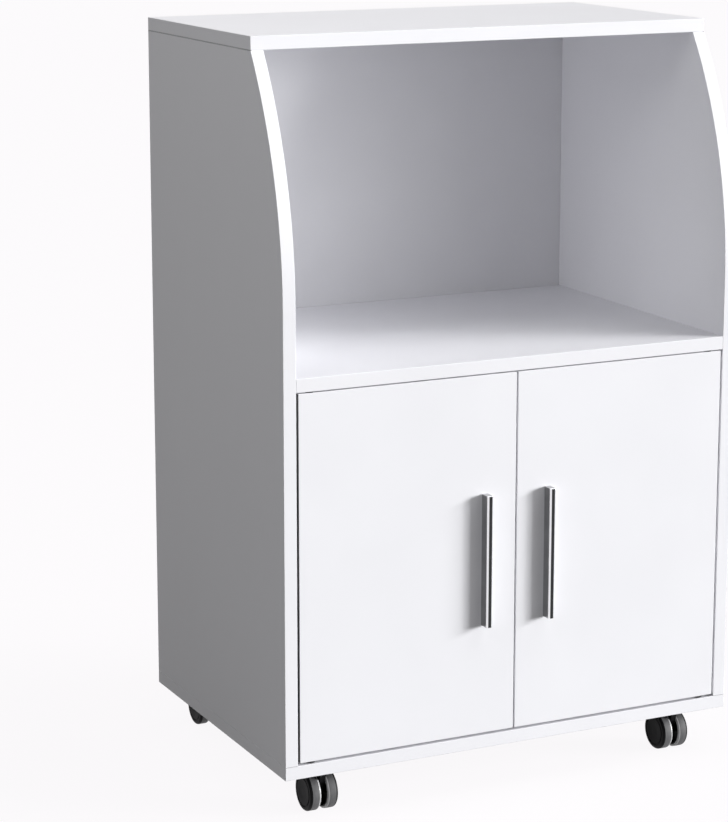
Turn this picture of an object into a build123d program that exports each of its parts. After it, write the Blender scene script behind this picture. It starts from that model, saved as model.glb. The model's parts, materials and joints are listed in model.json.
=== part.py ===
from build123d import *
import os

# Body of the cart, in millimetres
WIDTH = 600
DEPTH = 400
BODY_HEIGHT = 850
BOARD = 16
EDGE_ROUND = 0.6
SHELF_TOP = 473
TOP_SETBACK = 84
CURVE_START = 548
BACK_THICKNESS = 3
BACK_INSET = 2

# Doors
DOOR_THICKNESS = 16
DOOR_HINGE_GAP = 2.5
DOOR_CENTRE_GAP = 2
DOOR_TOP_GAP = 1.4

# Pivot pins in the boards and flanged bushes in the doors
PIVOT_FROM_EDGE = 16
PIN_DIAMETER = 5
PIN_IN_BOARD = 10
PIN_IN_DOOR = 12
COLLAR_DIAMETER = 11
COLLAR_THICKNESS = 2.2
BUSH_DIAMETER = 9
BUSH_LENGTH = 14
FLANGE_DIAMETER = 12
FLANGE_THICKNESS = 0.8

# Bar handles and their screws
HANDLE_LENGTH = 160
HANDLE_WIDTH = 7.8
HANDLE_PROJECTION = 15
HANDLE_CHAMFER = 1.8
HANDLE_EDGE_ROUND = 0.4
HANDLE_FROM_CENTRE = 42
HANDLE_MIDDLE = 233.5
HANDLE_SCREW_PITCH = 128
HANDLE_SCREW_DIAMETER = 4
HANDLE_SCREW_DEPTH = 8
SCREW_HEAD_DIAMETER = 7.5
SCREW_HEAD_HEIGHT = 2.4
SLOT_WIDTH = 1.2
SLOT_DEPTH = 1.2

# Magnetic catch under the shelf, and strike plates on the doors
CATCH_WIDTH = 64
CATCH_DEPTH = 20
CATCH_HEIGHT = 16
EAR_LENGTH = 12
EAR_THICKNESS = 3
MAGNET_FROM_CENTRE = 18
MAGNET_WIDTH = 20
MAGNET_DEPTH = 12
MAGNET_HEIGHT = 8
MAGNET_BELOW_SHELF = 9.5
MAGNET_PROUD = 1
STRIKE_WIDTH = 28
STRIKE_HEIGHT = 26
STRIKE_THICKNESS = 1.5
STRIKE_BELOW_EDGE = 1.5
STRIKE_SCREW_RISE = 6
SMALL_SCREW_DIAMETER = 3
SMALL_SCREW_DEPTH = 11
SMALL_HEAD_DIAMETER = 6
SMALL_HEAD_HEIGHT = 1.8

# Dowels
DOWEL_DIAMETER = 8
DOWEL_LENGTH = 30
DOWEL_IN_FACE = 10
TOP_DOWEL_INSET = 40

# Cam locks and cam bolts in the shelf ends
CAM_DIAMETER = 15
CAM_DEPTH = 12.5
CAM_FROM_END = 24
CAM_INSET = 70
CAM_TO_DOWEL = 32
BOLT_DIAMETER = 6
BOLT_IN_SIDE = 11

# Screws that hold the bottom panel to the sides
BOTTOM_SCREW_DIAMETER = 6
BOTTOM_SCREW_LENGTH = 50
BOTTOM_SCREW_INSET = 90
BOTTOM_HEAD_DIAMETER = 10
BOTTOM_HEAD_HEIGHT = 4

# Nails that hold the back panel
NAIL_DIAMETER = 1.6
NAIL_LENGTH = 20
NAIL_HEAD_DIAMETER = 4
NAIL_HEAD_HEIGHT = 0.8
NAIL_END_INSET = 40
NAIL_COUNT_SIDE = 6
NAIL_COUNT_BOARD = 5

# Casters
CASTER_HEIGHT = 56
CASTER_FROM_SIDE = 58
CASTER_FROM_FRONT = 32
CASTER_TRAIL = 8
PLATE_SIZE = 38
PLATE_THICKNESS = 2
PLATE_CORNER = 4
PLATE_SCREW_PITCH = 29
PLATE_SCREW_DIAMETER = 4
PLATE_SCREW_DEPTH = 12
SWIVEL_DIAMETER = 5
SWIVEL_LENGTH = 22
SWIVEL_HEAD_DIAMETER = 8
SWIVEL_HEAD_HEIGHT = 1
SWIVEL_RING_DIAMETER = 8
SWIVEL_RING_HEIGHT = 2
SWIVEL_RING_DROP = 4
HOOD_DISC_DIAMETER = 28
HOOD_DISC_HEIGHT = 5.5
HOOD_WEB_LENGTH = 22
HOOD_BOSS_DIAMETER = 14
AXLE_DIAMETER = 5
AXLE_IN_WHEEL = 10
WHEEL_DIAMETER = 46
WHEEL_WIDTH = 14
WHEEL_GAP = 8
WHEEL_OUTER_ROUND = 3
WHEEL_INNER_ROUND = 2
WHEEL_GROOVE_DIAMETER = 36
WHEEL_GROOVE_WIDTH = 1.5
WHEEL_GROOVE_DEPTH = 0.8
WHEEL_RIM = 3.5
WHEEL_HUB_DIAMETER = 12
WHEEL_HOLLOW = 9

# Clearances
FIXED_FIT = 0.05
RUNNING_FIT = 0.05
SIDE_PLAY = 0.5
RING_PLAY = 0.3
HOLE_SPARE = 0.5

# Places worked out from the sizes above
Y_FRONT = HANDLE_PROJECTION - (DEPTH + HANDLE_PROJECTION) / 2
Y_BACK = Y_FRONT + DEPTH
Y_REAR = Y_BACK - BACK_THICKNESS
Y_TOP_FRONT = Y_FRONT + TOP_SETBACK
Y_DOOR_BACK = Y_FRONT + DOOR_THICKNESS
Y_PIVOT = Y_FRONT + DOOR_THICKNESS / 2
X_OUTER = WIDTH / 2
X_INNER = X_OUTER - BOARD
X_BOARD = X_OUTER - BOARD / 2
X_DOOR_EDGE = X_INNER - DOOR_HINGE_GAP
X_PIVOT = X_DOOR_EDGE - PIVOT_FROM_EDGE
X_CAM = X_INNER - CAM_FROM_END
Z_UNDER = CASTER_HEIGHT
Z_BASE = Z_UNDER + BOARD
Z_SHELF = Z_UNDER + SHELF_TOP
Z_SHELF_UNDER = Z_SHELF - BOARD
Z_SHELF_MIDDLE = Z_SHELF - BOARD / 2
Z_TOP = Z_UNDER + BODY_HEIGHT
Z_TOP_UNDER = Z_TOP - BOARD
Z_DOOR_BOTTOM = Z_BASE + COLLAR_THICKNESS + FLANGE_THICKNESS
Z_DOOR_TOP = Z_SHELF_UNDER - DOOR_TOP_GAP
SIDES = (("left", -1), ("right", 1))


def block(x, y, z):
    """A box between two values on each axis."""
    centre = [(span[0] + span[1]) / 2 for span in (x, y, z)]
    size = [abs(span[1] - span[0]) for span in (x, y, z)]
    return Pos(*centre) * Box(*size)


def rod(start, direction, length, diameter):
    """A round bar from a start point."""
    return Solid.make_cylinder(diameter / 2, length, Plane(start, z_dir=direction))


def spread(first, last, count):
    """Evenly spaced values with both ends."""
    step = (last - first) / (count - 1)
    return [first + step * i for i in range(round(count))]


def cut(body, tools):
    """The body with all the tools taken out."""
    for tool in tools:
        body -= tool
    return body


def panel(x, y, z):
    """A board with its edges slightly rounded."""
    board = block(x, y, z)
    return fillet(board.edges(), EDGE_ROUND)


def screw(point, direction, shank, depth, head, height):
    """A slotted pan-head screw seated at a point, with its head behind that point."""
    seat = Vector(*point)
    way = Vector(*direction)
    body = rod(seat, way, depth, shank) + rod(seat, -way, height, head)
    across = Vector(1, 0, 0) if abs(way.X) < 0.5 else Vector(0, 1, 0)
    slot_plane = Plane(seat - way * (height - SLOT_DEPTH / 2), x_dir=across, z_dir=way)
    return body - slot_plane * Box(head * 2, SLOT_WIDTH, SLOT_DEPTH)


def save(name, *solids):
    """Write one node, a single solid or a group of like ones."""
    shape = solids[0] if len(solids) == 1 else Compound(list(solids))
    export_step(shape, f"parts/{name}.step")


# Places of the fasteners
TOP_DOWEL_YS = spread(Y_TOP_FRONT + TOP_DOWEL_INSET, Y_REAR - TOP_DOWEL_INSET, 3)
CAM_YS = [Y_FRONT + CAM_INSET, Y_REAR - CAM_INSET]
SHELF_DOWEL_YS = [CAM_YS[0] + CAM_TO_DOWEL, CAM_YS[1] - CAM_TO_DOWEL]
BOTTOM_YS = spread(Y_FRONT + BOTTOM_SCREW_INSET, Y_REAR - BOTTOM_SCREW_INSET, 5)
BOTTOM_SCREW_YS = BOTTOM_YS[0::2]
BOTTOM_DOWEL_YS = BOTTOM_YS[1::2]
HANDLE_SCREW_ZS = spread(-HANDLE_SCREW_PITCH / 2, HANDLE_SCREW_PITCH / 2, 2)
NAIL_ZS = spread(Z_BASE + NAIL_END_INSET, Z_TOP_UNDER - NAIL_END_INSET, NAIL_COUNT_SIDE)
NAIL_XS = spread(NAIL_END_INSET - X_INNER, X_INNER - NAIL_END_INSET, NAIL_COUNT_BOARD)
NAIL_POINTS = [(sign * X_BOARD, z) for name, sign in SIDES for z in NAIL_ZS]
NAIL_POINTS += [(x, Z_TOP - BOARD / 2) for x in NAIL_XS]
NAIL_POINTS += [(x, Z_SHELF_MIDDLE) for x in NAIL_XS]
NAIL_POINTS += [(x, Z_UNDER + BOARD / 2) for x in NAIL_XS]


def top_dowels(grow=0, spare=0):
    """Upright dowels between the sides and the top panel."""
    start = Z_TOP_UNDER + DOWEL_IN_FACE + spare
    length = DOWEL_LENGTH + 2 * spare
    return [
        rod((sign * X_BOARD, y, start), (0, 0, -1), length, DOWEL_DIAMETER + 2 * grow)
        for name, sign in SIDES
        for y in TOP_DOWEL_YS
    ]


def shelf_dowels(grow=0, spare=0):
    """Level dowels between the sides and the shelf ends."""
    start = X_INNER + DOWEL_IN_FACE + spare
    length = DOWEL_LENGTH + 2 * spare
    return [
        rod((sign * start, y, Z_SHELF_MIDDLE), (-sign, 0, 0), length, DOWEL_DIAMETER + 2 * grow)
        for name, sign in SIDES
        for y in SHELF_DOWEL_YS
    ]


def bottom_dowels(grow=0, spare=0):
    """Upright dowels between the bottom panel and the sides."""
    start = Z_BASE - DOWEL_IN_FACE - spare
    length = DOWEL_LENGTH + 2 * spare
    return [
        rod((sign * X_BOARD, y, start), (0, 0, 1), length, DOWEL_DIAMETER + 2 * grow)
        for name, sign in SIDES
        for y in BOTTOM_DOWEL_YS
    ]


def bottom_screws(grow=0, spare=0):
    """Long screws driven up through the bottom panel, heads sunk flush."""
    screws = []
    for name, sign in SIDES:
        for y in BOTTOM_SCREW_YS:
            foot = (sign * X_BOARD, y, Z_UNDER)
            shank = rod(foot, (0, 0, 1), BOTTOM_SCREW_LENGTH + spare, BOTTOM_SCREW_DIAMETER + 2 * grow)
            head = rod(foot, (0, 0, 1), BOTTOM_HEAD_HEIGHT, BOTTOM_HEAD_DIAMETER + 2 * grow)
            screws.append(shank + head)
    return screws


def cam_bolts(grow=0, spare=0):
    """Bolts fixed in the sides that reach into the cam locks."""
    start = X_INNER + BOLT_IN_SIDE + spare
    length = BOLT_IN_SIDE + CAM_FROM_END + 2 * spare
    return [
        rod((sign * start, y, Z_SHELF_MIDDLE), (-sign, 0, 0), length, BOLT_DIAMETER + 2 * grow)
        for name, sign in SIDES
        for y in CAM_YS
    ]


def cam_bodies(grow=0):
    """Round cam locks let into the underside of the shelf."""
    return [
        rod((sign * X_CAM, y, Z_SHELF_UNDER), (0, 0, 1), CAM_DEPTH, CAM_DIAMETER + 2 * grow)
        for name, sign in SIDES
        for y in CAM_YS
    ]


def cam_slots():
    """Screwdriver slots in the faces of the cam locks."""
    half = CAM_DIAMETER / 2
    return [
        block(
            (sign * X_CAM - half, sign * X_CAM + half),
            (y - SLOT_WIDTH / 2, y + SLOT_WIDTH / 2),
            (Z_SHELF_UNDER, Z_SHELF_UNDER + SLOT_DEPTH),
        )
        for name, sign in SIDES
        for y in CAM_YS
    ]


def back_nails(grow=0, spare=0):
    """Nails through the back panel, heads driven flush."""
    nails = []
    for x, z in NAIL_POINTS:
        tail = (x, Y_BACK, z)
        shank = rod(tail, (0, -1, 0), NAIL_LENGTH + spare, NAIL_DIAMETER + 2 * grow)
        head = rod(tail, (0, -1, 0), NAIL_HEAD_HEIGHT, NAIL_HEAD_DIAMETER + 2 * grow)
        nails.append(shank + head)
    return nails


def pivot_pin(sign, up):
    """A pivot pin fixed in a board and running in the door. The lower pin's collar carries the door."""
    seat = Z_BASE if up > 0 else Z_SHELF_UNDER
    foot = (sign * X_PIVOT, Y_PIVOT, seat - up * PIN_IN_BOARD)
    reach = Z_DOOR_BOTTOM - Z_BASE if up > 0 else DOOR_TOP_GAP
    shank = rod(foot, (0, 0, up), PIN_IN_BOARD + reach + PIN_IN_DOOR, PIN_DIAMETER)
    if up < 0:
        return shank
    return shank + rod((sign * X_PIVOT, Y_PIVOT, seat), (0, 0, up), COLLAR_THICKNESS, COLLAR_DIAMETER)


def pin_hole(sign, up):
    """The hole in a board that holds a pivot pin."""
    seat = Z_BASE if up > 0 else Z_SHELF_UNDER
    depth = PIN_IN_BOARD + FIXED_FIT
    return rod((sign * X_PIVOT, Y_PIVOT, seat), (0, 0, -up), depth, PIN_DIAMETER + 2 * FIXED_FIT)


def door_bush(sign, up):
    """A flanged bush in the door's edge, bored for the pivot pin."""
    edge = Z_DOOR_BOTTOM if up > 0 else Z_DOOR_TOP
    seat = (sign * X_PIVOT, Y_PIVOT, edge)
    flange = (sign * X_PIVOT, Y_PIVOT, edge - up * FLANGE_THICKNESS)
    body = rod(seat, (0, 0, up), BUSH_LENGTH, BUSH_DIAMETER)
    body += rod(flange, (0, 0, up), FLANGE_THICKNESS, FLANGE_DIAMETER)
    bore = FLANGE_THICKNESS + PIN_IN_DOOR + HOLE_SPARE
    return body - rod(flange, (0, 0, up), bore, PIN_DIAMETER + 2 * RUNNING_FIT)


def bush_hole(sign, up):
    """The hole in the door's edge for a bush."""
    edge = Z_DOOR_BOTTOM if up > 0 else Z_DOOR_TOP
    depth = BUSH_LENGTH + FIXED_FIT
    return rod((sign * X_PIVOT, Y_PIVOT, edge), (0, 0, up), depth, BUSH_DIAMETER + 2 * FIXED_FIT)


def handle_points(sign):
    """Places of a handle's two screws on the back of the door."""
    middle = Z_UNDER + HANDLE_MIDDLE
    return [(sign * HANDLE_FROM_CENTRE, Y_DOOR_BACK, middle + z) for z in HANDLE_SCREW_ZS]


def handle_screws(sign):
    """Screws put in from the back of the door."""
    depth = DOOR_THICKNESS + HANDLE_SCREW_DEPTH
    return [
        screw(point, (0, -1, 0), HANDLE_SCREW_DIAMETER, depth, SCREW_HEAD_DIAMETER, SCREW_HEAD_HEIGHT)
        for point in handle_points(sign)
    ]


def handle_holes(sign):
    """Holes for the handle screws through the door and into the handle."""
    depth = DOOR_THICKNESS + HANDLE_SCREW_DEPTH + HOLE_SPARE
    diameter = HANDLE_SCREW_DIAMETER + 2 * FIXED_FIT
    return [rod(point, (0, -1, 0), depth, diameter) for point in handle_points(sign)]


def handle(sign):
    """A solid upright bar with chamfered front edges, flat against the door."""
    x = sign * HANDLE_FROM_CENTRE
    z = Z_UNDER + HANDLE_MIDDLE
    bar = block(
        (x - HANDLE_WIDTH / 2, x + HANDLE_WIDTH / 2),
        (Y_FRONT - HANDLE_PROJECTION, Y_FRONT),
        (z - HANDLE_LENGTH / 2, z + HANDLE_LENGTH / 2),
    )
    front_edges = bar.edges().filter_by(Axis.Z).group_by(Axis.Y)[0]
    bar = chamfer(front_edges, HANDLE_CHAMFER)
    bar = fillet(bar.edges(), HANDLE_EDGE_ROUND)
    return cut(bar, handle_holes(sign))


def strike_screw_point(sign):
    """Place of the strike plate's screw, on the plate's rear face."""
    z = Z_DOOR_TOP - STRIKE_BELOW_EDGE - STRIKE_HEIGHT + STRIKE_SCREW_RISE
    return (sign * MAGNET_FROM_CENTRE, Y_DOOR_BACK + STRIKE_THICKNESS, z)


def strike_hole(sign):
    """The hole for a strike plate's screw."""
    depth = SMALL_SCREW_DEPTH + HOLE_SPARE
    return rod(strike_screw_point(sign), (0, -1, 0), depth, SMALL_SCREW_DIAMETER + 2 * FIXED_FIT)


def strike_plate(sign):
    """A steel plate on the back of the door, under its top edge."""
    x = sign * MAGNET_FROM_CENTRE
    top = Z_DOOR_TOP - STRIKE_BELOW_EDGE
    plate = block(
        (x - STRIKE_WIDTH / 2, x + STRIKE_WIDTH / 2),
        (Y_DOOR_BACK, Y_DOOR_BACK + STRIKE_THICKNESS),
        (top - STRIKE_HEIGHT, top),
    )
    return plate - strike_hole(sign)


def strike_screw(sign):
    """The screw that holds a strike plate."""
    return screw(
        strike_screw_point(sign),
        (0, -1, 0),
        SMALL_SCREW_DIAMETER,
        SMALL_SCREW_DEPTH,
        SMALL_HEAD_DIAMETER,
        SMALL_HEAD_HEIGHT,
    )


def door(sign):
    """A door between the centre gap and the hinge gap."""
    board = panel(
        sorted((sign * DOOR_CENTRE_GAP / 2, sign * X_DOOR_EDGE)),
        (Y_FRONT, Y_DOOR_BACK),
        (Z_DOOR_BOTTOM, Z_DOOR_TOP),
    )
    tools = [bush_hole(sign, 1), bush_hole(sign, -1), strike_hole(sign)]
    return cut(board, tools + handle_holes(sign))


Y_MAGNET = Y_DOOR_BACK + STRIKE_THICKNESS
Y_CATCH = Y_MAGNET + MAGNET_PROUD
CATCH_SCREW_XS = [sign * (CATCH_WIDTH + EAR_LENGTH) / 2 for name, sign in SIDES]
CATCH_SCREW_POINTS = [
    (x, Y_CATCH + CATCH_DEPTH / 2, Z_SHELF_UNDER - EAR_THICKNESS) for x in CATCH_SCREW_XS
]


def magnet(sign, grow=0):
    """A magnet block that meets a closed door's strike plate."""
    x = sign * MAGNET_FROM_CENTRE
    z = Z_SHELF_UNDER - MAGNET_BELOW_SHELF
    return block(
        (x - MAGNET_WIDTH / 2 - grow, x + MAGNET_WIDTH / 2 + grow),
        (Y_MAGNET, Y_MAGNET + MAGNET_DEPTH),
        (z - MAGNET_HEIGHT / 2 - grow, z + MAGNET_HEIGHT / 2 + grow),
    )


def catch_screw_holes():
    """Holes for the catch's screws through its ears and up into the shelf."""
    depth = SMALL_SCREW_DEPTH + HOLE_SPARE
    diameter = SMALL_SCREW_DIAMETER + 2 * FIXED_FIT
    return [rod(point, (0, 0, 1), depth, diameter) for point in CATCH_SCREW_POINTS]


def catch_housing():
    """The catch's body with two ears, open at the front for the magnets."""
    half = CATCH_WIDTH / 2
    depth = (Y_CATCH, Y_CATCH + CATCH_DEPTH)
    body = block((-half, half), depth, (Z_SHELF_UNDER - CATCH_HEIGHT, Z_SHELF_UNDER))
    reach = half + EAR_LENGTH
    body += block((-reach, reach), depth, (Z_SHELF_UNDER - EAR_THICKNESS, Z_SHELF_UNDER))
    pockets = [magnet(sign, FIXED_FIT) for name, sign in SIDES]
    return cut(body, pockets + catch_screw_holes())


def catch_screws():
    """Screws that hold the catch under the shelf."""
    return [
        screw(
            point,
            (0, 0, 1),
            SMALL_SCREW_DIAMETER,
            SMALL_SCREW_DEPTH,
            SMALL_HEAD_DIAMETER,
            SMALL_HEAD_HEIGHT,
        )
        for point in CATCH_SCREW_POINTS
    ]


# Casters: a name and the place of the swivel axis for each
X_CASTER = X_OUTER - CASTER_FROM_SIDE
Z_PLATE = Z_UNDER - PLATE_THICKNESS
Z_AXLE = WHEEL_DIAMETER / 2
CASTERS = {
    "front_left": (-X_CASTER, Y_FRONT + CASTER_FROM_FRONT),
    "front_right": (X_CASTER, Y_FRONT + CASTER_FROM_FRONT),
    "back_left": (-X_CASTER, Y_BACK - CASTER_FROM_FRONT),
    "back_right": (X_CASTER, Y_BACK - CASTER_FROM_FRONT),
}
HOOD_WIDTH = WHEEL_GAP - 2 * SIDE_PLAY


def plate_screw_points(x, y):
    """Places of the four screws under a caster plate."""
    half = PLATE_SCREW_PITCH / 2
    return [(x + dx, y + dy, Z_PLATE) for dx in (-half, half) for dy in (-half, half)]


def plate_screw_holes(x, y):
    """Holes for a plate's screws, through the plate and into the bottom panel."""
    depth = PLATE_THICKNESS + PLATE_SCREW_DEPTH + HOLE_SPARE
    diameter = PLATE_SCREW_DIAMETER + 2 * FIXED_FIT
    return [rod(point, (0, 0, 1), depth, diameter) for point in plate_screw_points(x, y)]


def plate_screws(x, y):
    """The four screws of one caster plate."""
    depth = PLATE_THICKNESS + PLATE_SCREW_DEPTH
    return [
        screw(point, (0, 0, 1), PLATE_SCREW_DIAMETER, depth, SCREW_HEAD_DIAMETER, SCREW_HEAD_HEIGHT)
        for point in plate_screw_points(x, y)
    ]


def swivel_pin(x, y, grow=0, play=0):
    """The upright pin with its flush head and a snap ring inside the hood."""
    top = (x, y, Z_UNDER)
    ring = (x, y, Z_UNDER - SWIVEL_RING_DROP + play)
    pin = rod(top, (0, 0, -1), SWIVEL_LENGTH + play, SWIVEL_DIAMETER + 2 * grow)
    pin += rod(top, (0, 0, -1), SWIVEL_HEAD_HEIGHT, SWIVEL_HEAD_DIAMETER + 2 * grow)
    return pin + rod(ring, (0, 0, -1), SWIVEL_RING_HEIGHT + 2 * play, SWIVEL_RING_DIAMETER + 2 * play)


def caster_plate(x, y):
    """The square steel plate under the bottom panel."""
    half = PLATE_SIZE / 2
    plate = block((x - half, x + half), (y - half, y + half), (Z_PLATE, Z_UNDER))
    plate = fillet(plate.edges().filter_by(Axis.Z), PLATE_CORNER)
    head = rod((x, y, Z_UNDER), (0, 0, -1), SWIVEL_HEAD_HEIGHT, SWIVEL_HEAD_DIAMETER + 2 * FIXED_FIT)
    shank = rod((x, y, Z_UNDER), (0, 0, -1), PLATE_THICKNESS, SWIVEL_DIAMETER + 2 * FIXED_FIT)
    return cut(plate, [head, shank] + plate_screw_holes(x, y))


def hood(x, y):
    """The swivelling hood: a disc under the plate and a web that carries the axle."""
    axle_y = y + CASTER_TRAIL
    z_disc = Z_PLATE - HOOD_DISC_HEIGHT
    middle = Plane((x - HOOD_WIDTH / 2, 0, 0), x_dir=(0, 1, 0), z_dir=(1, 0, 0))
    top_bar = Pos(y, z_disc + HOOD_DISC_HEIGHT / 2) * Rectangle(HOOD_WEB_LENGTH, HOOD_DISC_HEIGHT)
    boss = Pos(axle_y, Z_AXLE) * Circle(HOOD_BOSS_DIAMETER / 2)
    web = extrude(middle * make_hull(top_bar.edges() + boss.edges()), HOOD_WIDTH)
    body = web + rod((x, y, z_disc), (0, 0, 1), HOOD_DISC_HEIGHT, HOOD_DISC_DIAMETER)
    axle_hole = rod(
        (x - HOOD_WIDTH, axle_y, Z_AXLE), (1, 0, 0), 2 * HOOD_WIDTH, AXLE_DIAMETER + 2 * FIXED_FIT
    )
    return cut(body, [axle_hole, swivel_pin(x, y, RUNNING_FIT, RING_PLAY)])


def axle(x, y):
    """The steel axle through the hood, with an end in each wheel."""
    half = WHEEL_GAP / 2 + AXLE_IN_WHEEL
    return rod((x - half, y + CASTER_TRAIL, Z_AXLE), (1, 0, 0), 2 * half, AXLE_DIAMETER)


def wheel(x, y, sign):
    """A wheel with a closed outer face, hollow towards the hood around its hub."""
    centre = (x + sign * WHEEL_GAP / 2, y + CASTER_TRAIL, Z_AXLE)
    outer = (x + sign * (WHEEL_GAP / 2 + WHEEL_WIDTH), y + CASTER_TRAIL, Z_AXLE)
    out = (sign, 0, 0)
    inward = (-sign, 0, 0)
    disc = rod(centre, out, WHEEL_WIDTH, WHEEL_DIAMETER)
    along = Axis(centre, out)
    disc = fillet(disc.edges().filter_by(GeomType.CIRCLE).sort_by(along)[-1], WHEEL_OUTER_ROUND)
    disc = fillet(disc.edges().filter_by(GeomType.CIRCLE).sort_by(along)[0], WHEEL_INNER_ROUND)
    groove = rod(outer, inward, WHEEL_GROOVE_DEPTH, WHEEL_GROOVE_DIAMETER)
    groove -= rod(outer, inward, WHEEL_GROOVE_DEPTH, WHEEL_GROOVE_DIAMETER - 2 * WHEEL_GROOVE_WIDTH)
    hollow = rod(centre, out, WHEEL_HOLLOW, WHEEL_DIAMETER - 2 * WHEEL_RIM)
    hollow -= rod(centre, out, WHEEL_HOLLOW, WHEEL_HUB_DIAMETER)
    bore = rod(centre, out, AXLE_IN_WHEEL + HOLE_SPARE, AXLE_DIAMETER + 2 * RUNNING_FIT)
    return cut(disc, [groove, hollow, bore])


def side_panel(sign):
    """A side with the convex front edge beside the open bay."""
    outline = Polyline(
        (Y_FRONT, Z_UNDER + CURVE_START),
        (Y_FRONT, Z_BASE),
        (Y_REAR, Z_BASE),
        (Y_REAR, Z_TOP_UNDER),
        (Y_TOP_FRONT, Z_TOP_UNDER),
    )
    front_curve = TangentArc(
        (Y_FRONT, Z_UNDER + CURVE_START), (Y_TOP_FRONT, Z_TOP_UNDER), tangent=(0, 1)
    )
    near_x = min(sign * X_OUTER, sign * X_INNER)
    plane = Plane((near_x, 0, 0), x_dir=(0, 1, 0), z_dir=(1, 0, 0))
    board = extrude(plane * make_face(outline.edges() + front_curve.edges()), BOARD)
    board = fillet(board.edges(), EDGE_ROUND)
    tools = top_dowels(FIXED_FIT, FIXED_FIT) + shelf_dowels(FIXED_FIT, FIXED_FIT)
    tools += bottom_dowels(FIXED_FIT, FIXED_FIT) + bottom_screws(FIXED_FIT, FIXED_FIT)
    tools += cam_bolts(FIXED_FIT, FIXED_FIT) + back_nails(FIXED_FIT, FIXED_FIT)
    return cut(board, tools)


def bottom_panel():
    """The bottom board: the sides stand on it and the casters hang under it."""
    board = panel((-X_OUTER, X_OUTER), (Y_FRONT, Y_REAR), (Z_UNDER, Z_BASE))
    tools = bottom_dowels(FIXED_FIT, FIXED_FIT) + bottom_screws(FIXED_FIT, FIXED_FIT)
    tools += back_nails(FIXED_FIT, FIXED_FIT)
    tools += [pin_hole(sign, 1) for name, sign in SIDES]
    for x, y in CASTERS.values():
        tools += plate_screw_holes(x, y)
    return cut(board, tools)


def top_panel():
    """The top board over both sides."""
    board = panel((-X_OUTER, X_OUTER), (Y_TOP_FRONT, Y_REAR), (Z_TOP_UNDER, Z_TOP))
    return cut(board, top_dowels(FIXED_FIT, FIXED_FIT) + back_nails(FIXED_FIT, FIXED_FIT))


def middle_shelf():
    """The fixed shelf between the sides."""
    board = panel((-X_INNER, X_INNER), (Y_FRONT, Y_REAR), (Z_SHELF_UNDER, Z_SHELF))
    tools = shelf_dowels(FIXED_FIT, FIXED_FIT) + cam_bolts(FIXED_FIT, FIXED_FIT)
    tools += cam_bodies(FIXED_FIT) + back_nails(FIXED_FIT, FIXED_FIT) + catch_screw_holes()
    tools += [pin_hole(sign, -1) for name, sign in SIDES]
    return cut(board, tools)


def back_panel():
    """The thin sheet nailed to the rear edges."""
    reach = X_OUTER - BACK_INSET
    sheet = block(
        (-reach, reach), (Y_REAR, Y_BACK), (Z_UNDER + BACK_INSET, Z_TOP - BACK_INSET)
    )
    return cut(sheet, back_nails(FIXED_FIT, FIXED_FIT))


def cam_locks():
    """Cam locks with their slots, each hollow where its bolt ends."""
    bolts = cam_bolts(FIXED_FIT, FIXED_FIT)
    slots = cam_slots()
    return [cut(body, [bolt, slot]) for body, bolt, slot in zip(cam_bodies(), bolts, slots)]


os.makedirs("parts", exist_ok=True)

save("top_panel", top_panel())
save("bottom_panel", bottom_panel())
save("middle_shelf", middle_shelf())
save("back_panel", back_panel())
save("top_dowels", *top_dowels())
save("shelf_dowels", *shelf_dowels())
save("bottom_dowels", *bottom_dowels())
save("bottom_screws", *bottom_screws())
save("cam_bolts", *cam_bolts())
save("cam_locks", *cam_locks())
save("back_nails", *back_nails())
save("catch_housing", catch_housing())
save("catch_magnets", *[magnet(sign) for name, sign in SIDES])
save("catch_screws", *catch_screws())

for name, sign in SIDES:
    save(f"{name}_side_panel", side_panel(sign))
    save(f"{name}_door", door(sign))
    save(f"{name}_handle", handle(sign))
    save(f"{name}_handle_screws", *handle_screws(sign))
    save(f"{name}_strike_plate", strike_plate(sign))
    save(f"{name}_strike_screw", strike_screw(sign))
    for end, up in (("lower", 1), ("upper", -1)):
        save(f"{name}_{end}_pivot_pin", pivot_pin(sign, up))
        save(f"{name}_{end}_door_bush", door_bush(sign, up))

all_plate_screws = []
for name, (x, y) in CASTERS.items():
    save(f"{name}_caster_plate", caster_plate(x, y))
    save(f"{name}_swivel_pin", swivel_pin(x, y))
    save(f"{name}_caster_hood", hood(x, y))
    save(f"{name}_axle", axle(x, y))
    for side, sign in SIDES:
        save(f"{name}_wheel_{side}", wheel(x, y, sign))
    all_plate_screws += plate_screws(x, y)
save("caster_plate_screws", *all_plate_screws)
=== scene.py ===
import bmesh
import bpy
import json
import math
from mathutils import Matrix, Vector


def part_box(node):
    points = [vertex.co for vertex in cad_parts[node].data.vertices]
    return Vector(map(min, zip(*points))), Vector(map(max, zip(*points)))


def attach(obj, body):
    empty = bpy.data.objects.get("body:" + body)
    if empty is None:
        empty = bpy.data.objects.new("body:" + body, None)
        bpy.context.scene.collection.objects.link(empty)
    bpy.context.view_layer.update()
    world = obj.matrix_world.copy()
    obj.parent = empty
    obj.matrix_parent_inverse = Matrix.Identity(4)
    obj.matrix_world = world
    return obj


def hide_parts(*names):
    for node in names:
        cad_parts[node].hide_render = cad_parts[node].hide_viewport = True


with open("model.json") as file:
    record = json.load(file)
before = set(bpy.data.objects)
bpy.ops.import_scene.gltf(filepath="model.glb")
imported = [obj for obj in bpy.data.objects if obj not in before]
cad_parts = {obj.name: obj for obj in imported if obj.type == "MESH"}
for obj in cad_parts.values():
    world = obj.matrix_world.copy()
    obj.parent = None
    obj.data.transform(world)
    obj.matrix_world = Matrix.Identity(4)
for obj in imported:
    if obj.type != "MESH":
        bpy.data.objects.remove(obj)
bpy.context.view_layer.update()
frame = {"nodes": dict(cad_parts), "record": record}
nodes = frame["nodes"]
record = frame["record"]
slot_of = {part["node"]: part["material_slot"] for part in record["subparts"]}
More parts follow.
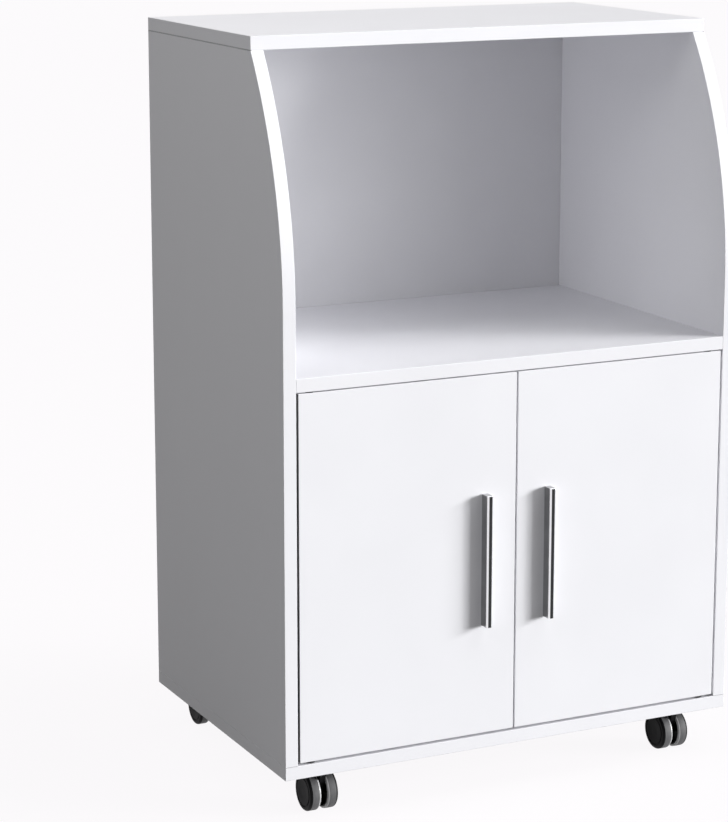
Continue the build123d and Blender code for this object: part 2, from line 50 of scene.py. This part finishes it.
body_of = {node: body for body, members in record["behaviour"]["bodies"].items() for node in members}
scene = bpy.context.scene
scene.view_settings.view_transform = "Standard"

CASTERS = ("front_left", "front_right", "back_left", "back_right")
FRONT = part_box("right_side_panel")[0].y
BASE_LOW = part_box("bottom_panel")[0].z
BASE_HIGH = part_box("bottom_panel")[1].z
TOP_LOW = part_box("top_panel")[0].z
TOP_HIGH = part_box("top_panel")[1].z

# where a finish or a painted shade changes on the boards, the back sheet and the bars, in metres
RAW_EDGE = 0.20425
SHEET_REAR = 0.2049
BAR_SIDES = -0.2043
TOP_SHADE_LINE = 0.0007
TOP_SHADE_LINE_ENDS = 0.2985
BASE_SHADE_LINE = 0.0005
BASE_SHADE_LINE_ENDS = 0.284
BASE_SHADE_LINE_DEPTH = 0.001
GAP_SHADE_DEPTH = 0.0002
NO_GAP_SHADE = 1


class Wire:
    """A node's output that works in sums: each sum on wires adds a Math node."""

    def __init__(self, finish, socket):
        self.finish = finish
        self.socket = socket

    def maths(self, operation, first, second):
        return self.finish.node("ShaderNodeMath", {"operation": operation}, {0: first, 1: second}, 0)

    def __add__(self, other):
        return self.maths("ADD", self, other)

    def __radd__(self, other):
        return self.maths("ADD", other, self)

    def __sub__(self, other):
        return self.maths("SUBTRACT", self, other)

    def __rsub__(self, other):
        return self.maths("SUBTRACT", other, self)

    def __mul__(self, other):
        return self.maths("MULTIPLY", self, other)

    def __rmul__(self, other):
        return self.maths("MULTIPLY", other, self)

    def __gt__(self, other):
        return self.maths("GREATER_THAN", self, other)

    def __lt__(self, other):
        return self.maths("LESS_THAN", self, other)

    def __abs__(self):
        return self.maths("ABSOLUTE", self, 0)


class Finish:
    """A node tree for one finish."""

    def __init__(self, owner):
        owner.use_nodes = True
        self.owner = owner
        self.tree = owner.node_tree
        self.tree.nodes.clear()

    def node(self, kind, settings, sockets, output):
        """Add a node with its settings and its socket values or links, and give one of its outputs."""
        made = self.tree.nodes.new(kind)
        for name, value in settings.items():
            if name == "stops":
                stops = made.color_ramp.elements
                while len(stops) < len(value):
                    stops.new(1)
                for stop, (place, colour) in zip(stops, value):
                    stop.position = place
                    stop.color = (*colour, 1)
            else:
                setattr(made, name, value)
        for name, value in sockets.items():
            if isinstance(value, Wire):
                self.tree.links.new(value.socket, made.inputs[name])
            else:
                made.inputs[name].default_value = value
        return Wire(self, made.outputs[output]) if made.outputs else None

    def place(self):
        return self.node("ShaderNodeTexCoord", {}, {}, "Object")

    def along(self, axis):
        return self.node("ShaderNodeSeparateXYZ", {}, {0: self.place()}, axis)

    def stretched(self, scale):
        return self.node("ShaderNodeMapping", {}, {"Vector": self.place(), "Scale": scale}, 0)

    def noise(self, scale, detail, at=None):
        sockets = {"Vector": at or self.place(), "Scale": scale, "Detail": detail}
        return self.node("ShaderNodeTexNoise", {}, sockets, "Fac")

    def cells(self, scale):
        return self.node("ShaderNodeTexVoronoi", {}, {"Vector": self.place(), "Scale": scale}, "Distance")

    def ramp(self, value, *stops):
        return self.node("ShaderNodeValToRGB", {"stops": stops}, {"Fac": value}, "Color")

    def blend(self, share, first, second):
        return self.node("ShaderNodeMix", {"data_type": "RGBA"}, {0: share, 6: first, 7: second}, 2)

    def bump(self, height, depth, strength, under=None):
        sockets = {"Height": height, "Distance": depth, "Strength": strength}
        if under:
            sockets["Normal"] = under
        return self.node("ShaderNodeBump", {}, sockets, "Normal")

    def mixed(self, share, first, second):
        return self.node("ShaderNodeMixShader", {}, {0: share, 1: first, 2: second}, 0)

    def shown(self):
        """1 for what the camera, a gloss or a clear surface shows, 0 for light on its way."""
        rays = ("Is Camera Ray", "Is Glossy Ray", "Is Transmission Ray")
        seen, mirrored, through = [self.node("ShaderNodeLightPath", {}, {}, ray) for ray in rays]
        return seen + mirrored + through

    def close(self, kind, shader):
        """Send a shader to the finish's output."""
        self.node(kind, {}, {"Surface": shader}, 0)
        return self.owner

    def surface(self, **sockets):
        """Close the finish with its main shader."""
        named = {name.replace("_", " "): value for name, value in sockets.items()}
        shader = self.node("ShaderNodeBsdfPrincipled", {}, named, 0)
        return self.close("ShaderNodeOutputMaterial", shader)


def new_finish(name):
    return Finish(bpy.data.materials.new(name))


def white_board(name, painted_shade_past):
    """White coated chipboard: a fine pebble, a slight cloud, painted shade lines in its seams, raw chips
    on the rear edges.

    Past a given place on the left it turns dark grey: painted shade for the gap beside the left door.
    """
    look = new_finish(name)
    across = look.along("X")
    depth = look.along("Y")
    height = look.along("Z")
    cloud = look.noise(7, 2)
    coat_and_painted_shade = look.ramp(cloud, (0.3, (0.842, 0.842, 0.874)), (0.7, (0.862, 0.862, 0.894)))
    # painted shade: the left door's hinge edge goes dark grey for the shade in the gap beside it
    coat_and_painted_shade = look.blend(0 - across > painted_shade_past, coat_and_painted_shade, (0.15, 0.15, 0.155, 1))
    # painted shade: thin grey lines where the top and the base meet the sides, for the shade in those
    # grooves
    painted_top_seam_shade = (abs(height - TOP_LOW) < TOP_SHADE_LINE) * (abs(across) > TOP_SHADE_LINE_ENDS)
    coat_and_painted_shade = look.blend(painted_top_seam_shade, coat_and_painted_shade, (0.42, 0.42, 0.44, 1))
    base_ends = (abs(height - BASE_HIGH) < BASE_SHADE_LINE) * (abs(across) > BASE_SHADE_LINE_ENDS)
    painted_base_seam_shade = base_ends * (depth < FRONT + BASE_SHADE_LINE_DEPTH)
    coat_and_painted_shade = look.blend(painted_base_seam_shade, coat_and_painted_shade, (0.60, 0.60, 0.62, 1))
    chips = look.ramp(
        look.noise(420, 4), (0.3, (0.30, 0.20, 0.11)), (0.5, (0.52, 0.38, 0.24)), (0.7, (0.68, 0.54, 0.37))
    )
    raw = depth > RAW_EDGE
    pebble = look.bump(look.noise(1300, 2), 0.00005, 0.3)
    return look.surface(
        Base_Color=look.blend(raw, coat_and_painted_shade, chips),
        Roughness=0.34 + 0.10 * cloud + 0.4 * raw,
        Normal=look.bump(look.noise(14, 1), 0.0006, 0.25, pebble),
        Specular_IOR_Level=0.25,
    )


def back_sheet():
    """Thin hardboard: white paint on the front, bare brown fibre with a pressed grain on the rear."""
    look = new_finish("back_sheet")
    paint = look.ramp(look.noise(8, 2), (0.3, (0.80, 0.80, 0.83)), (0.7, (0.83, 0.83, 0.86)))
    fibre = look.noise(700, 5)
    brown = look.ramp(
        0.8 * fibre + 0.2 * look.noise(11, 3),
        (0.3, (0.16, 0.09, 0.045)),
        (0.5, (0.27, 0.165, 0.09)),
        (0.72, (0.40, 0.27, 0.16)),
    )
    rear = look.along("Y") > SHEET_REAR
    return look.surface(
        Base_Color=look.blend(rear, paint, brown),
        Roughness=0.45 + 0.4 * rear,
        Normal=look.bump(look.cells(620) * rear + 0.2 * fibre, 0.00025, 0.5),
        IOR=1.46,
    )


def chrome():
    """Polished chrome on the front; on the sides a rougher satin whose darker base is painted shade."""
    look = new_finish("chrome")
    smudge = look.noise(60, 4)
    polish = look.ramp(smudge, (0.3, (0.80, 0.805, 0.82)), (0.7, (0.87, 0.875, 0.89)))
    # painted shade: the sides' darker base stands in for the darker reflection they show
    side_shade_tone = look.ramp(smudge, (0.3, (0.40, 0.40, 0.41)), (0.7, (0.46, 0.46, 0.47)))
    side = look.along("Y") > BAR_SIDES
    return look.surface(
        Base_Color=look.blend(side, polish, side_shade_tone),
        Metallic=1.0,
        Roughness=0.04 + 0.06 * smudge + 0.08 * side,
        Normal=look.bump(look.noise(90, 2), 0.0002, 0.04),
    )


def zinc_steel():
    """Bright zinc plate with a cloudy sheen."""
    look = new_finish("zinc_steel")
    cloud = look.noise(160, 4)
    return look.surface(
        Base_Color=look.ramp(cloud, (0.3, (0.50, 0.51, 0.53)), (0.7, (0.68, 0.69, 0.70))),
        Metallic=1.0,
        Roughness=0.26 + 0.22 * cloud,
        Normal=look.bump(look.noise(900, 3), 0.00004, 0.5),
    )


def black_plastic():
    """Moulded black nylon with a fine grain."""
    look = new_finish("black_plastic")
    dust = look.noise(120, 4)
    return look.surface(
        Base_Color=look.ramp(dust, (0.35, (0.006, 0.006, 0.007)), (0.75, (0.012, 0.012, 0.013))),
        Roughness=0.36 + 0.16 * dust,
        Normal=look.bump(look.noise(2200, 2), 0.00003, 0.5),
        Specular_IOR_Level=0.08,
    )


def wheel_face():
    """The wheels' outer discs, a shade lighter and duller than the other black plastic."""
    look = new_finish("wheel_face")
    dust = look.noise(150, 4)
    return look.surface(
        Base_Color=look.ramp(dust, (0.3, (0.009, 0.009, 0.010)), (0.75, (0.015, 0.015, 0.016))),
        Roughness=0.34 + 0.2 * dust,
        Normal=look.bump(look.noise(2000, 2), 0.00003, 0.5),
        Specular_IOR_Level=0.04,
    )


def wheel_lip_highlight():
    """The rounded lips on the wheels' inner edges, painted pale grey as a highlight."""
    look = new_finish("wheel_lip_highlight")
    dust = look.noise(150, 4)
    return look.surface(
        Base_Color=look.ramp(dust, (0.35, (0.47, 0.47, 0.48)), (0.75, (0.55, 0.55, 0.56))),
        Roughness=0.22 + 0.08 * dust,
        Normal=look.bump(look.noise(2000, 2), 0.00002, 0.3),
        Specular_IOR_Level=0.7,
    )


def grey_tread():
    """The wheels' dark grey running band, dull from the floor."""
    look = new_finish("grey_tread")
    scuff = look.noise(500, 4, look.stretched((1, 0.3, 0.3)))
    return look.surface(
        Base_Color=look.ramp(scuff, (0.3, (0.085, 0.085, 0.088)), (0.7, (0.120, 0.120, 0.124))),
        Roughness=0.45 + 0.2 * scuff,
        Normal=look.bump(scuff, 0.00008, 0.4),
    )


def beech():
    """Plain beech with grain along the dowel."""
    look = new_finish("beech")
    grain = look.noise(260, 4, look.stretched((1, 1, 0.12)))
    return look.surface(
        Base_Color=look.ramp(grain, (0.3, (0.50, 0.33, 0.18)), (0.7, (0.70, 0.52, 0.33))),
        Roughness=0.6 + 0.15 * grain,
        Normal=look.bump(grain, 0.0002, 0.4),
    )


def blackened_steel():
    """The door pivots' dark oil-finished steel."""
    look = new_finish("blackened_steel")
    oil = look.noise(260, 3)
    return look.surface(
        Base_Color=look.ramp(oil, (0.3, (0.045, 0.045, 0.048)), (0.7, (0.075, 0.075, 0.08))),
        Roughness=0.38 + 0.15 * oil,
        Normal=look.bump(look.noise(1800, 2), 0.00002, 0.3),
        Metallic=0.8,
    )


def white_plastic():
    """Satin white moulded plastic."""
    look = new_finish("white_plastic")
    cloud = look.noise(90, 3)
    return look.surface(
        Base_Color=look.ramp(cloud, (0.3, (0.78, 0.78, 0.76)), (0.7, (0.83, 0.83, 0.81))),
        Roughness=0.38 + 0.14 * cloud,
        Normal=look.bump(look.noise(1500, 2), 0.00004, 0.5),
    )


def magnet():
    """Dark sintered ferrite."""
    look = new_finish("magnet")
    speck = look.noise(900, 4)
    return look.surface(
        Base_Color=look.ramp(speck, (0.3, (0.035, 0.035, 0.037)), (0.7, (0.075, 0.075, 0.08))),
        Roughness=0.55 + 0.2 * speck,
        Normal=look.bump(speck, 0.0001, 0.5),
    )


FINISHES = {
    "white_board": white_board("white_board", NO_GAP_SHADE),
    "back_sheet": back_sheet(),
    "chrome": chrome(),
    "zinc_steel": zinc_steel(),
    "black_plastic": black_plastic(),
    "beech": beech(),
    "white_plastic": white_plastic(),
    "magnet": magnet(),
}
# pieces that differ from the rest of their slot, by how their names end
OWN_FINISHES = {
    # the doors' board carries painted shade on the left door's hinge edge
    "_door": white_board("door_board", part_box("right_door")[1].x - GAP_SHADE_DEPTH),
    "_door_bush": FINISHES["black_plastic"],
    "_pivot_pin": blackened_steel(),
}
WHEEL_FINISHES = (FINISHES["black_plastic"], wheel_face(), grey_tread(), wheel_lip_highlight())
FACE_FINISH, TREAD_FINISH, LIP_HIGHLIGHT = 1, 2, 3


def finish_of(name):
    """A node's own finish, or else its slot's."""
    for ending, own_finish in OWN_FINISHES.items():
        if name.endswith(ending):
            return own_finish
    return FINISHES[slot_of[name]]


def begin():
    """Leave nothing selected before the next piece starts."""
    bpy.ops.object.select_all(action="DESELECT")


def shape_piece(name):
    """Name the new primitive, keep its place in its mesh, and start to shape it."""
    piece = bpy.context.object
    piece.name = name
    bpy.ops.object.transform_apply(location=True, rotation=True, scale=True)
    bpy.ops.object.mode_set(mode="EDIT")
    return piece


def pick_faces(rule):
    """Select the faces whose middle and normal pass a rule."""
    bpy.ops.mesh.select_mode(type="FACE")
    bpy.ops.mesh.select_all(action="DESELECT")
    mesh = bpy.context.object.data
    shape = bmesh.from_edit_mesh(mesh)
    for face in shape.faces:
        if rule(face.calc_center_median(), face.normal):
            face.select_set(True)
    bmesh.update_edit_mesh(mesh)


def pick_edges(rule):
    """Select the edges whose two ends pass a rule."""
    bpy.ops.mesh.select_mode(type="EDGE")
    bpy.ops.mesh.select_all(action="DESELECT")
    mesh = bpy.context.object.data
    shape = bmesh.from_edit_mesh(mesh)
    for edge in shape.edges:
        if rule(edge.verts[0].co, edge.verts[1].co):
            edge.select_set(True)
    bmesh.update_edit_mesh(mesh)


def push(x):
    """Extrude what is selected along the axle."""
    bpy.ops.mesh.extrude_region_move(TRANSFORM_OT_translate={"value": (x, 0, 0)})


def shift(x):
    """Move what is selected along the axle."""
    bpy.ops.transform.translate(value=(x, 0, 0))


def inset(width):
    bpy.ops.mesh.inset(thickness=width)


def round_off(size, steps):
    bpy.ops.mesh.bevel(offset=size, segments=steps, affect="EDGES")


def copy_of(piece, name, place, turn=(0, 0, 0)):
    """A copy with its own mesh, turned and moved to its place."""
    begin()
    twin = piece.copy()
    twin.data = piece.data.copy()
    twin.name = name
    scene.collection.objects.link(twin)
    twin.select_set(True)
    bpy.context.view_layer.objects.active = twin
    twin.rotation_euler = turn
    twin.location = place
    bpy.ops.object.transform_apply(location=True, rotation=True, scale=True)
    return twin


def stand_for(piece, node):
    """The piece takes a node's place and body, and its slot's finish if it has none."""
    if not piece.data.materials:
        piece.data.materials.append(FINISHES[slot_of[node]])
    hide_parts(node)
    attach(piece, body_of[node])


def middle_of(node):
    low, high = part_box(node)
    return (low + high) / 2


def off_axle(point):
    return math.hypot(point.y, point.z)


# the caster wheel, in metres
WHEEL_RADIUS = 0.02299
WHEEL_WIDTH = 0.014
WHEEL_SIDES = 96
OUTER_ROUND = 0.003
INNER_ROUND = 0.0024
FACE_RINGS = (0.002, 0.0015, 0.003, 0.005, 0.005)
SUNK_RING = (0.0165, 0.018)
RING_DEPTH = 0.0008
DISH_RADIUS = 0.0085
DISH_DEPTH = 0.0005
LIP_WIDTH = 0.0015
HOLLOW_DEPTH = 0.009
HOLLOW_WIDTH = 0.0135
HUB_WALL = 0.0035
BORE_DEPTH = 0.0105
# a normal this far along the axle is a flat face's
FLAT = 0.999
# where its finishes start and end
TREAD_RADIUS = 0.02285
TREAD_SLOPE = 0.05
FACE_RADIUS = 0.020
FACE_SLOPE = 0.9
LIP_RADIUS = 0.0205
LIP_START = 0.004
SMOOTH_BELOW = 32


def wheel():
    """A caster wheel about the X axis, its outer face towards -X.

    In front it has a sunk ring and a shallow dish, behind it a hollow with a hub.
    """
    near_rim = WHEEL_WIDTH / 2 * 0.9
    begin()
    bpy.ops.mesh.primitive_cylinder_add(
        vertices=WHEEL_SIDES, radius=WHEEL_RADIUS, depth=WHEEL_WIDTH, rotation=(0, math.radians(90), 0)
    )
    piece = shape_piece("wheel")
    pick_edges(lambda a, b: a.x < -near_rim and b.x < -near_rim)
    round_off(OUTER_ROUND, 6)
    pick_edges(lambda a, b: a.x > near_rim and b.x > near_rim)
    round_off(INNER_ROUND, 5)
    # outer face: rings, one of them sunk, and a shallow dish in the middle
    pick_faces(lambda middle, normal: normal.x < -FLAT)
    for width in FACE_RINGS:
        inset(width)
    pick_faces(lambda middle, normal: normal.x < -FLAT and SUNK_RING[0] < off_axle(middle) < SUNK_RING[1])
    push(RING_DEPTH)
    pick_faces(lambda middle, normal: normal.x < -FLAT and off_axle(middle) < DISH_RADIUS)
    shift(DISH_DEPTH)
    # inner side: a hollow inside the rounded lip, then the hub and its bore
    pick_faces(lambda middle, normal: normal.x > FLAT)
    inset(LIP_WIDTH)
    push(-HOLLOW_DEPTH)
    inset(HOLLOW_WIDTH)
    push(HOLLOW_DEPTH)
    inset(HUB_WALL)
    push(-BORE_DEPTH)
    bpy.ops.object.mode_set(mode="OBJECT")
    bpy.ops.object.shade_smooth_by_angle(angle=math.radians(SMOOTH_BELOW))
    # disc, running band and inner lip have finishes of their own; the lip's pale grey is a painted
    # highlight
    for finish in WHEEL_FINISHES:
        piece.data.materials.append(finish)
    for face in piece.data.polygons:
        radius = off_axle(face.center)
        if radius > TREAD_RADIUS and abs(face.normal.x) < TREAD_SLOPE:
            face.material_index = TREAD_FINISH
        elif face.center.x < 0 and radius < FACE_RADIUS and face.normal.x < -FACE_SLOPE:
            face.material_index = FACE_FINISH
        elif face.center.x > LIP_START and radius > LIP_RADIUS:
            face.material_index = LIP_HIGHLIGHT
    return piece


# the bar handle, in metres
BAR_CHAMFER = 0.0018
BAR_SOFTENING = 0.0004


def bar_handle():
    """A square chrome bar with chamfered front corners and softened edges."""
    low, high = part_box("left_handle")
    begin()
    bpy.ops.mesh.primitive_cube_add(size=1, location=middle_of("left_handle"), scale=high - low)
    piece = shape_piece("bar_handle")
    near_front = low.y + 0.0001
    # the two long front edges: the short ones stay level
    pick_edges(lambda a, b: a.y < near_front and b.y < near_front and abs(a.z - b.z) > 0.1)
    round_off(BAR_CHAMFER, 1)
    pick_edges(lambda a, b: True)
    round_off(BAR_SOFTENING, 3)
    bpy.ops.object.mode_set(mode="OBJECT")
    bpy.ops.object.shade_smooth()
    modifier = piece.modifiers.new("even_faces", "WEIGHTED_NORMAL")
    modifier.keep_sharp = True
    bpy.ops.object.modifier_apply(modifier=modifier.name)
    return piece


def casters():
    """All eight wheels from one."""
    first = wheel()
    for caster in CASTERS:
        for side, turn in (("left", 0), ("right", math.pi)):
            node = f"{caster}_wheel_{side}"
            stand_for(copy_of(first, f"{node}_shaped", middle_of(node), (0, 0, turn)), node)
    bpy.data.objects.remove(first)


def handles():
    """The left bar, and the right one moved across from it."""
    first = bar_handle()
    step = middle_of("right_handle") - middle_of("left_handle")
    stand_for(copy_of(first, "right_handle_shaped", step), "right_handle")
    stand_for(first, "left_handle")
    first.name = "left_handle_shaped"


# the studio, in metres
PALE = (1.0, 0.985, 1.0, 1)
FLOOR_SIZE = 160
FLOOR_SHADE = 0.07
LAMP_DISTANCE = 28
LAMP_AIM = (0, 0, 0.45)
# where the sides' front edge starts to curve back, and the steps that follow the curve
ARC_START = 0.604
ARC_STEPS = 12
# how far the nets stand from the boards and from their edges, and what light they let through
SIDE_NET_GAP = 0.0012
INNER_NET_GAP = 0.0008
NET_MARGIN = 0.0005
NET_OVER_TOP = 0.0002
SIDE_NET_SHARE = 0.42
INNER_NET_SHARE = 0.47
CARD_PLACE = (0.255, -0.657, 0.145)
CARD_SIZE = (0.19, 0.26, 1)
CAMERA_PLACE = (-1.4757, -2.8218, 1.1493)
CAMERA_DIP = 11.745
CAMERA_TURN = 25.891
FILM_WIDTH = 36
LENS = 115.48
LENS_SHIFT = -0.06


def soft_box(name, place, aim, width, height, power):
    """A soft light turned towards a point."""
    begin()
    bpy.ops.object.light_add(type="AREA", location=place)
    lamp = bpy.context.object
    lamp.name = name
    lamp.data.shape = "RECTANGLE"
    lamp.data.size = width
    lamp.data.size_y = height
    lamp.data.energy = power
    lamp.rotation_euler = (Vector(aim) - Vector(place)).to_track_quat("-Z", "Y").to_euler()
    lamp.visible_camera = False
    return lamp


def far_box(name, turn, rise, width, height, power):
    """A soft light far away, turned from the front towards the right and raised."""
    across = LAMP_DISTANCE * math.cos(math.radians(rise))
    place = (
        across * math.sin(math.radians(turn)),
        -across * math.cos(math.radians(turn)),
        LAMP_AIM[2] + LAMP_DISTANCE * math.sin(math.radians(rise)),
    )
    return soft_box(name, place, LAMP_AIM, width, height, power)


def only_seen_by(piece, **rays):
    """Show a stage piece to some kinds of ray only."""
    for kind in ("camera", "diffuse", "glossy", "transmission", "volume_scatter", "shadow"):
        setattr(piece, f"visible_{kind}", rays.get(kind, False))


def floor():
    """A pale sheet that keeps a faint shadow."""
    begin()
    bpy.ops.mesh.primitive_plane_add(size=FLOOR_SIZE)
    sheet = bpy.context.object
    sheet.name = "studio_floor"
    look = new_finish("studio_floor")
    white = look.node("ShaderNodeEmission", {}, {"Color": PALE, "Strength": 1.0}, 0)
    paper = look.node("ShaderNodeBsdfDiffuse", {}, {"Color": (0.94, 0.92, 0.94, 1)}, 0)
    bounce = look.node("ShaderNodeBsdfDiffuse", {}, {"Color": (0.2, 0.2, 0.2, 1)}, 0)
    shader = look.mixed(look.shown(), bounce, look.mixed(FLOOR_SHADE, white, paper))
    sheet.data.materials.append(look.close("ShaderNodeOutputMaterial", shader))
    look.owner.cycles.emission_sampling = "NONE"


def backdrop():
    """White behind the part, no light of its own."""
    scene.world = bpy.data.worlds.new("backdrop")
    scene.world.cycles.sampling_method = "NONE"
    look = Finish(scene.world)
    white = look.node("ShaderNodeBackground", {}, {"Color": PALE, "Strength": 1.0}, 0)
    dark = look.node("ShaderNodeBackground", {}, {"Color": (0, 0, 0, 1), "Strength": 0.0}, 0)
    look.close("ShaderNodeOutputWorld", look.mixed(look.shown(), dark, white))


def net(name, x, outline, share):
    """A net on edge that only takes a share off the light that passes it."""
    begin()
    bpy.ops.mesh.primitive_circle_add(vertices=len(outline), radius=1, fill_type="NGON")
    sheet = shape_piece(name)
    mesh = bmesh.from_edit_mesh(sheet.data)
    for corner, (y, z) in zip(mesh.verts, outline):
        corner.co = (x, y, z)
    bmesh.update_edit_mesh(sheet.data)
    bpy.ops.object.mode_set(mode="OBJECT")
    look = new_finish(name)
    clear = look.node("ShaderNodeBsdfTransparent", {}, {"Color": (share, share, share, 1)}, 0)
    sheet.data.materials.append(look.close("ShaderNodeOutputMaterial", clear))
    only_seen_by(sheet, shadow=True)


def side_outline(margin, bottom, top):
    """A side's outline moved back by a margin in front: its straight edge, its arc, its rear."""
    arc_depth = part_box("top_panel")[0].y - FRONT
    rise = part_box("right_side_panel")[1].z - ARC_START
    radius = (arc_depth**2 + rise**2) / (2 * arc_depth)
    points = [(FRONT + margin, bottom)]
    for step in range(ARC_STEPS + 1):
        above = rise * step / ARC_STEPS
        points.append((FRONT + radius - math.sqrt(radius**2 - above**2) + margin, ARC_START + above))
    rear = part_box("right_side_panel")[1].y
    return points + [(points[-1][0], top), (rear, top), (rear, bottom)]


def nets():
    """Nets close to the right side and to the inside of the left side.

    They soften the strong side light there.
    """
    low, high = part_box("right_side_panel")
    outer = side_outline(-NET_MARGIN, BASE_LOW, TOP_HIGH + NET_OVER_TOP)
    net("side_net", high.x + SIDE_NET_GAP, outer, SIDE_NET_SHARE)
    inner = side_outline(NET_MARGIN, BASE_HIGH, TOP_LOW)
    net("inner_net", -low.x + INNER_NET_GAP, inner, INNER_NET_SHARE)


def dark_card():
    """A dark card that the handles' front faces mirror."""
    begin()
    bpy.ops.mesh.primitive_plane_add(
        size=1, location=CARD_PLACE, rotation=(math.radians(90), 0, 0), scale=CARD_SIZE
    )
    card = bpy.context.object
    card.name = "dark_card"
    look = new_finish("dark_card")
    black = look.node("ShaderNodeEmission", {}, {"Color": (0.05, 0.05, 0.052, 1), "Strength": 1.0}, 0)
    card.data.materials.append(look.close("ShaderNodeOutputMaterial", black))
    look.owner.cycles.emission_sampling = "NONE"
    only_seen_by(card, glossy=True)


def lamps():
    """Strong light from the right, softer light from the other sides, a little in the bay."""
    far_box("key", 66, 14, 8.0, 4.8, 5680)
    far_box("key_low", 55, 6, 8.0, 4.8, 6340)
    far_box("high", 68, 64, 16, 16, 2960)
    far_box("front", 35, 17, 16, 16, 1060)
    far_box("fill", 0, 20, 16, 16, 250)
    rear = far_box("rear", 180, 15, 16, 16, 2500)
    # the top panel doesn't mirror it towards the front
    rear.visible_glossy = False
    soft_box("left", (-1.8, -1.0, 2.0), (-0.3, 0, 0.6), 1.2, 1.2, 9.2)
    soft_box("left_high", (-1.3, -0.3, 2.4), (-0.3, 0, 0.6), 1.0, 1.0, 3.0)
    soft_box("bay", (-0.268, 0.005, 0.71), (0.3, 0.005, 0.71), 0.23, 0.34, 0.168)


def camera():
    """The camera at the photograph's angle."""
    begin()
    bpy.ops.object.camera_add(location=CAMERA_PLACE)
    view = bpy.context.object
    view.rotation_euler = (math.radians(90 - CAMERA_DIP), 0, -math.radians(CAMERA_TURN))
    view.data.sensor_width = FILM_WIDTH
    view.data.lens = LENS
    view.data.shift_y = LENS_SHIFT
    scene.camera = view


casters()
handles()
for name, node in nodes.items():
    node.data.materials.clear()
    node.data.materials.append(finish_of(name))
floor()
backdrop()
nets()
dark_card()
lamps()
camera()
